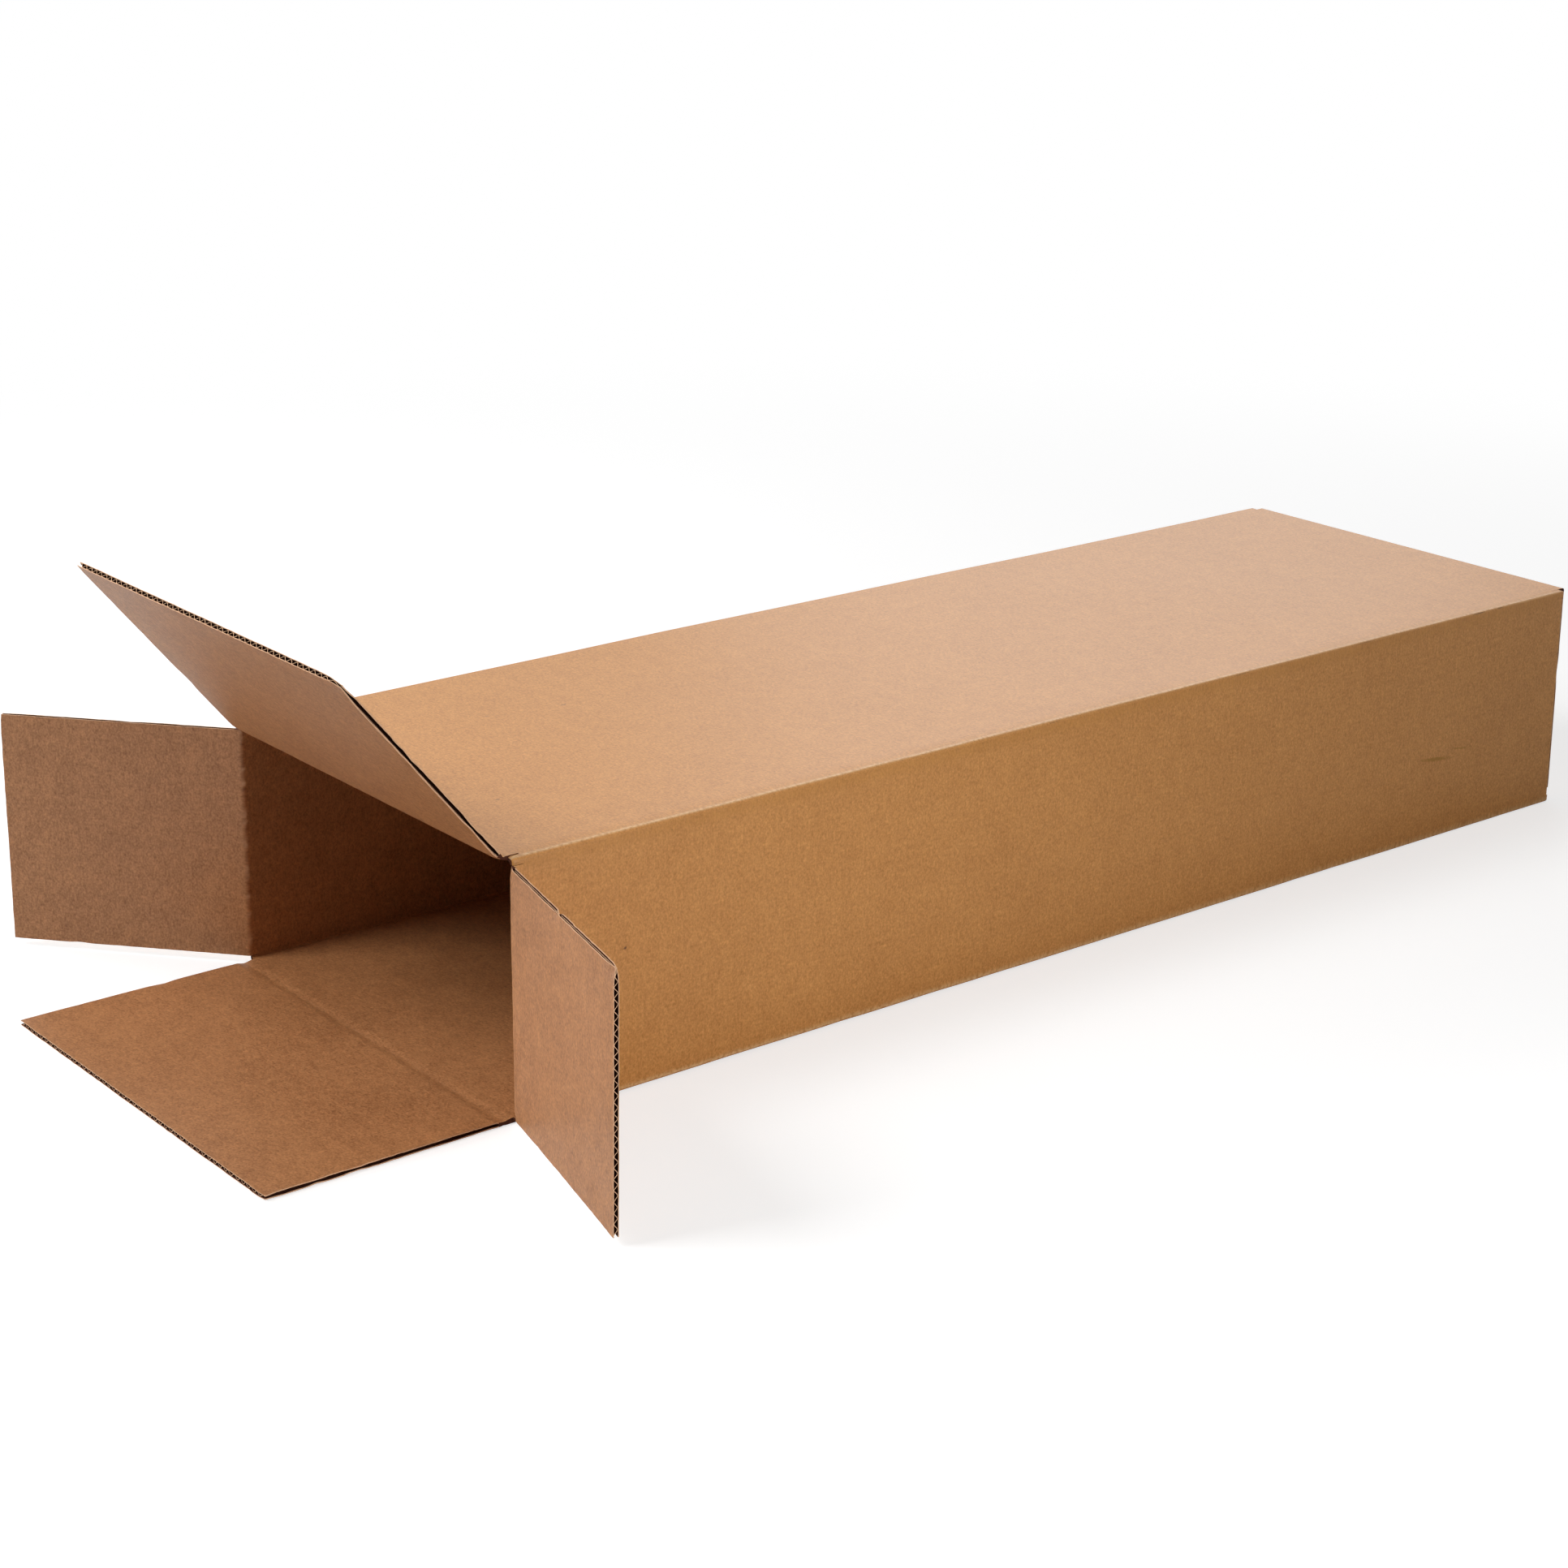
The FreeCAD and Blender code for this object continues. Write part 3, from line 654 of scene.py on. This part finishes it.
def kraftLiner(name, look):
    material, out = newPaper(name)
    blank = addNode(material, "ShaderNodeAttribute", {"attribute_name": "blank"}).outputs["Vector"]
    place = addNode(material, "ShaderNodeSeparateXYZ", {}, Vector=blank)

    # mottling, layer on layer; fibres lie across the flutes, which is the blank's first axis
    total, grain = None, []
    for size, stretch, detail, strength in kraft["mottling"]:
        mapping = addNode(material, "ShaderNodeMapping", {"Scale": (1 / stretch, 1, 1)}, Vector=blank)
        layer = addNode(material, "ShaderNodeTexNoise",
                        {"Scale": 1 / (size * millimetre), "Detail": detail, "Roughness": 0.6},
                        Vector=mapping.outputs["Vector"]).outputs["Fac"]
        grain.append(layer)
        weighed = {"operation": "MULTIPLY_ADD", 1: strength}
        if total is None:
            total = addNode(material, "ShaderNodeMath", {**weighed, 2: 0.0}, i0=layer).outputs[0]
        else:
            total = addNode(material, "ShaderNodeMath", weighed, i0=layer, i2=total).outputs[0]

    # flutes show through as faint stripes along the box
    turn = 2 * math.pi / (board["flutePitch"] * millimetre)
    phase = addNode(material, "ShaderNodeMath", {"operation": "MULTIPLY", 1: turn}, i0=place.outputs["X"])
    stripe = addNode(material, "ShaderNodeMath", {"operation": "SINE"}, i0=phase.outputs[0]).outputs[0]
    total = addNode(material, "ShaderNodeMath", {"operation": "MULTIPLY_ADD", 1: look["stripe"]},
                    i0=stripe, i2=total).outputs[0]
    half = sum(layer[3] for layer in kraft["mottling"]) / 2
    tone = addNode(material, "ShaderNodeMapRange", {1: half - 0.5, 2: half + 0.5}, i0=total).outputs[0]
    colour = addNode(material, "ShaderNodeMix",
                     {"data_type": "RGBA", 6: toLinear(look["dark"]), 7: toLinear(look["light"])},
                     i0=tone).outputs[2]

    # shives: small dark bits of bark, far apart
    spots = addNode(material, "ShaderNodeTexVoronoi", {"Scale": 1 / (kraft["shiveSpacing"] * millimetre)},
                    Vector=blank)
    solid, rim = kraft["shiveEdge"]
    small = addNode(material, "ShaderNodeMapRange", {1: solid, 2: rim, 3: 0.6, 4: 0.0},
                    i0=spots.outputs["Distance"]).outputs[0]
    pick = addNode(material, "ShaderNodeSeparateColor", {}, Color=spots.outputs["Color"]).outputs[0]
    rare = addNode(material, "ShaderNodeMath", {"operation": "GREATER_THAN", 1: kraft["shivesLeftOut"]},
                   i0=pick).outputs[0]
    shive = addNode(material, "ShaderNodeMath", {"operation": "MULTIPLY"}, i0=small, i1=rare).outputs[0]
    colour = addNode(material, "ShaderNodeMix", {"data_type": "RGBA", 7: toLinear(kraft["shive"])},
                     i0=shive, i6=colour).outputs[2]

    # fold marks: above zero a pale line, partly rubbed liner and partly a painted highlight; below zero a
    # golden band of painted light
    wearAndPaintedLight = addNode(material, "ShaderNodeAttribute", {"attribute_name": "wearAndPaintedLight"}).outputs["Fac"]
    patchy = addNode(material, "ShaderNodeMapRange", {1: 0.38, 2: 0.58, 3: 0.25, 4: 1.0},
                     i0=grain[2]).outputs[0]
    for side, foldColourName in ((1.0, "pale"), (-1.0, "golden")):
        share = addNode(material, "ShaderNodeMath", {"operation": "MULTIPLY", 1: side}, i0=wearAndPaintedLight).outputs[0]
        share = addNode(material, "ShaderNodeMath", {"operation": "MULTIPLY", "use_clamp": True},
                        i0=share, i1=patchy).outputs[0]
        colour = addNode(material, "ShaderNodeMix", {"data_type": "RGBA", 7: toLinear(look[foldColourName])},
                         i0=share, i6=colour).outputs[2]

    for (v, u), (long, wide), degrees, shade, strength in marks:
        spot = {"vector_type": "TEXTURE", "Location": (u * millimetre, v * millimetre, 0),
                "Rotation": (0, 0, math.radians(90 - degrees)),
                "Scale": (long * millimetre, wide * millimetre, millimetre)}
        local = addNode(material, "ShaderNodeMapping", spot, Vector=blank).outputs["Vector"]
        reach = addNode(material, "ShaderNodeVectorMath", {"operation": "LENGTH"}, i0=local).outputs["Value"]
        rough = addNode(material, "ShaderNodeMath", {"operation": "MULTIPLY_ADD", 1: 1.4, 2: -0.7},
                        i0=grain[3]).outputs[0]
        reach = addNode(material, "ShaderNodeMath", {"operation": "ADD"}, i0=reach, i1=rough).outputs[0]
        share = addNode(material, "ShaderNodeMapRange", {1: 0.55, 2: 1.15, 3: strength, 4: 0.0}, i0=reach)
        colour = addNode(material, "ShaderNodeMix", {"data_type": "RGBA", 7: toLinear(shade)},
                         i0=share.outputs[0], i6=colour).outputs[2]

    height = addNode(material, "ShaderNodeMath", {"operation": "MULTIPLY_ADD", 1: 0.5},
                     i0=grain[3], i2=grain[2]).outputs[0]
    height = addNode(material, "ShaderNodeMath", {"operation": "MULTIPLY_ADD", 1: 0.12},
                     i0=stripe, i2=height).outputs[0]
    bump = addNode(material, "ShaderNodeBump",
                   {"Strength": kraft["bumpStrength"], "Distance": kraft["bumpHeight"] * millimetre},
                   Height=height)
    shader = addNode(material, "ShaderNodeBsdfPrincipled",
                     {"Roughness": kraft["roughness"], "IOR": kraft["ior"]},
                     **{"Base Color": colour, "Normal": bump.outputs[0]})
    material.node_tree.links.new(shader.outputs[0], out.inputs[0])
    return material

# Fluting medium is rougher recycled paper, coloured near black to paint the shade in its cells. A cut edge
# shows loose pale fibres.
roughPaper = {"roughness": 0.9, "shine": 0.2, "bumpStrength": 0.3, "bumpHeight": 0.15}
plainPapers = {
    # the fluting's dark colour is painted shade of the cells between the liners
    "flutingPaperPaintedShade": {**roughPaper, "light": "#5F3524", "dark": "#3A1A10", "grain": 2.0},
    "cutPaperEdge": {**roughPaper, "light": "#F4CBA6", "dark": "#CC9871", "grain": 0.9},
}

def plainPaper(name, look):
    material, out = newPaper(name)
    blank = addNode(material, "ShaderNodeAttribute", {"attribute_name": "blank"}).outputs["Vector"]
    noise = addNode(material, "ShaderNodeTexNoise",
                    {"Scale": 1 / (look["grain"] * millimetre), "Detail": 3.0},
                    Vector=blank).outputs["Fac"]
    colour = addNode(material, "ShaderNodeMix",
                     {"data_type": "RGBA", 6: toLinear(look["dark"]), 7: toLinear(look["light"])},
                     i0=noise).outputs[2]
    bump = addNode(material, "ShaderNodeBump",
                   {"Strength": look["bumpStrength"], "Distance": look["bumpHeight"] * millimetre},
                   Height=noise)
    shader = addNode(material, "ShaderNodeBsdfPrincipled",
                     {"Roughness": look["roughness"], "IOR": kraft["ior"],
                      "Specular IOR Level": look["shine"]},
                     **{"Base Color": colour, "Normal": bump.outputs[0]})
    material.node_tree.links.new(shader.outputs[0], out.inputs[0])
    return material

papers = [kraftLiner("kraftLinerOutside", kraft["outside"]), kraftLiner("kraftLinerInside", kraft["inside"])]
papers += [plainPaper(name, look) for name, look in plainPapers.items()]
print("papers made:", ", ".join(paper.name for paper in papers))

def finishPiece(piece, *nodes):
    if nodes:
        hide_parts(*nodes)

cartonSheets = newSheets()
addTube(cartonSheets)
addGlueTab(cartonSheets)
cartonTube = makePiece("cartonTube", cartonSheets, papers)
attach(cartonTube, "carton")
finishPiece(cartonTube, "carton")
print("tube:", len(cartonTube.data.polygons), "faces")

for name in ("rearTopFlap", "rearBottomFlap", "rearLeftFlap", "rearRightFlap"):
    sheets = newSheets()
    addCrease(sheets, flaps[name])
    addFlap(sheets, flaps[name])
    piece = makePiece(name, sheets, papers)
    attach(piece, "carton")
    finishPiece(piece)
    print(name + ":", len(piece.data.polygons), "faces")

openFlaps = {"topFlap": "top_flap", "bottomFlap": "bottom_flap",
             "leftFlap": "left_flap", "rightFlap": "right_flap"}
for name, body in openFlaps.items():
    flap = flaps[name]
    sheets = newSheets()
    addFlap(sheets, flap)
    piece = makePiece(name, sheets, papers)
    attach(piece, body)
    finishPiece(piece, body)
    sheets = newSheets()
    addCrease(sheets, flap)
    crease = makePiece(name + "Crease", sheets, papers)
    start = foldPlace(flap, np.array(0.0), np.array(-hingeBlend), np.array(0.0)) * millimetre
    end = foldPlace(flap, np.array(0.0), np.array(hingeBlend), np.array(0.0)) * millimetre
    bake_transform(crease)
    finishPiece(crease)
    print(name + ":", len(piece.data.polygons), "and", len(crease.data.polygons), "faces")

studio = {
    "floorSize": 60.0,
    "floorTone": "#E9E9E9",
    "shadowTone": "#B9B9B9",
    "shadowGlow": 0.66,
    "whiteFrom": 1.1,  # metres from the box's middle, where the floor starts to fade to white
    "whiteBy": 2.3,
    "ambient": 0.05,
    "floorDrop": 0.4,  # mm, so that the board doesn't share the floor's plane
}
lamps = {
    "overhead": {"at": (-0.4, 1.4, 2.9), "look": (0, 0, 0.1), "size": 3.0, "power": 20},
    "back": {"at": (-2.2, 2.4, 1.5), "look": (0, 0.2, 0.2), "size": 1.6, "power": 10.5},
    "front": {"at": (-0.8, -2.6, 2.6), "look": (0, -0.7, 0.1), "size": 1.4, "power": 70},
    "left": {"at": (-2.6, -1.8, 1.1), "look": (0.1, -0.7, 0.1), "size": 1.2, "power": 60},
    "side": {"at": (1.25, -0.42, 0.4), "look": (0.19, -0.3, 0.08), "size": 0.5, "power": 5.0},
}
camera = {
    "at": (1.88282, -1.67711, 0.95339),
    "right": (0.621268, 0.783567, 0.006979),
    "up": (-0.231764, 0.175237, 0.956858),
    "forward": (-0.74854, 0.596083, -0.290471),
    "lens": 72.255,
    "shiftY": -0.0776,
}

# Matt white floor. The camera sees it nearly white, with the box's own soft shadow. Reflections
# see it plainly lit near the box and white far off.
# The world is white to the camera and in reflections, and gives only a little light of its own.
floorMaterial = bpy.data.materials.new("whiteStudioFloor")
world = bpy.data.worlds.new("studioWorld")
bpy.context.scene.world = world
for owner in (floorMaterial, world):
    owner.use_nodes = True
    owner.node_tree.nodes.clear()

rays = addNode(floorMaterial, "ShaderNodeLightPath")
floorOut = floorMaterial.node_tree.nodes.new("ShaderNodeOutputMaterial")
plainFloor = addNode(floorMaterial, "ShaderNodeBsdfDiffuse",
                     {"Color": toLinear(studio["floorTone"])}).outputs[0]
shadowed = addNode(floorMaterial, "ShaderNodeBsdfDiffuse",
                   {"Color": toLinear(studio["shadowTone"])}).outputs[0]
glow = addNode(floorMaterial, "ShaderNodeEmission", {"Strength": studio["shadowGlow"]}).outputs[0]
nearFloor = addNode(floorMaterial, "ShaderNodeAddShader", {}, i0=shadowed, i1=glow).outputs[0]
farFloor = addNode(floorMaterial, "ShaderNodeEmission", {"Strength": 1.0}).outputs[0]
position = addNode(floorMaterial, "ShaderNodeNewGeometry").outputs["Position"]
away = addNode(floorMaterial, "ShaderNodeVectorMath", {"operation": "LENGTH"}, i0=position).outputs["Value"]
fade = addNode(floorMaterial, "ShaderNodeMapRange",
               {"interpolation_type": "SMOOTHSTEP", 1: studio["whiteFrom"], 2: studio["whiteBy"]}, i0=away)
seenFloor = addNode(floorMaterial, "ShaderNodeMixShader", {}, i0=fade.outputs[0], i1=nearFloor, i2=farFloor)
mirrored = addNode(floorMaterial, "ShaderNodeMath", {"operation": "MULTIPLY"},
                   i0=fade.outputs[0], i1=rays.outputs["Is Glossy Ray"])
litFloor = addNode(floorMaterial, "ShaderNodeMixShader", {},
                   i0=mirrored.outputs[0], i1=plainFloor, i2=farFloor)
floorMix = addNode(floorMaterial, "ShaderNodeMixShader", {},
                   i0=rays.outputs["Is Camera Ray"], i1=litFloor.outputs[0], i2=seenFloor.outputs[0])
floorMaterial.node_tree.links.new(floorMix.outputs[0], floorOut.inputs[0])
reach = studio["floorSize"] / 2
under = -studio["floorDrop"] * millimetre
corners = [(x * reach, y * reach, under) for x, y in ((-1, -1), (1, -1), (1, 1), (-1, 1))]
floorMesh = bpy.data.meshes.new("studioFloor")
floorMesh.from_pydata(corners, [], [(0, 1, 2, 3)])
floorMesh.materials.append(floorMaterial)
floor = bpy.data.objects.new("studioFloor", floorMesh)
bpy.context.scene.collection.objects.link(floor)

worldOut = world.node_tree.nodes.new("ShaderNodeOutputWorld")
white = toLinear("#FFFFFF")
plainSky = addNode(world, "ShaderNodeBackground", {"Color": white, "Strength": studio["ambient"]}).outputs[0]
seenSky = addNode(world, "ShaderNodeBackground", {"Color": white, "Strength": 1.0}).outputs[0]
rays = addNode(world, "ShaderNodeLightPath")
seenDirectly = rays.outputs["Is Camera Ray"]
for ray in ("Is Glossy Ray", "Is Transmission Ray"):
    seenDirectly = addNode(world, "ShaderNodeMath", {"operation": "MAXIMUM"},
                           i0=seenDirectly, i1=rays.outputs[ray]).outputs[0]
skyMix = addNode(world, "ShaderNodeMixShader", {}, i0=seenDirectly, i1=plainSky, i2=seenSky)
world.node_tree.links.new(skyMix.outputs[0], worldOut.inputs[0])

for name, lamp in lamps.items():
    light = bpy.data.lights.new(name + "Softbox", "AREA")
    light.shape = "SQUARE"
    light.size = lamp["size"]
    light.energy = lamp["power"]
    softbox = bpy.data.objects.new(name + "Softbox", light)
    softbox.visible_camera = False
    bpy.context.scene.collection.objects.link(softbox)
    softbox.location = lamp["at"]
    aim = Vector(lamp["look"]) - Vector(lamp["at"])
    softbox.rotation_euler = aim.to_track_quat("-Z", "Y").to_euler()
print("floor and", len(lamps), "softboxes set")

cameraData = bpy.data.cameras.new("photoCamera")
cameraData.sensor_width = 36.0
cameraData.lens = camera["lens"]
cameraData.shift_y = camera["shiftY"]
cameraData.clip_start = 0.05
cameraData.clip_end = 100.0
photoCamera = bpy.data.objects.new("photoCamera", cameraData)
bpy.context.scene.collection.objects.link(photoCamera)
turned = Matrix([camera["right"], camera["up"], [-v for v in camera["forward"]]]).transposed()
photoCamera.matrix_world = Matrix.Translation(camera["at"]) @ turned.to_4x4()
bpy.context.scene.camera = photoCamera
bpy.context.scene.view_settings.view_transform = "Standard"
print("camera set")
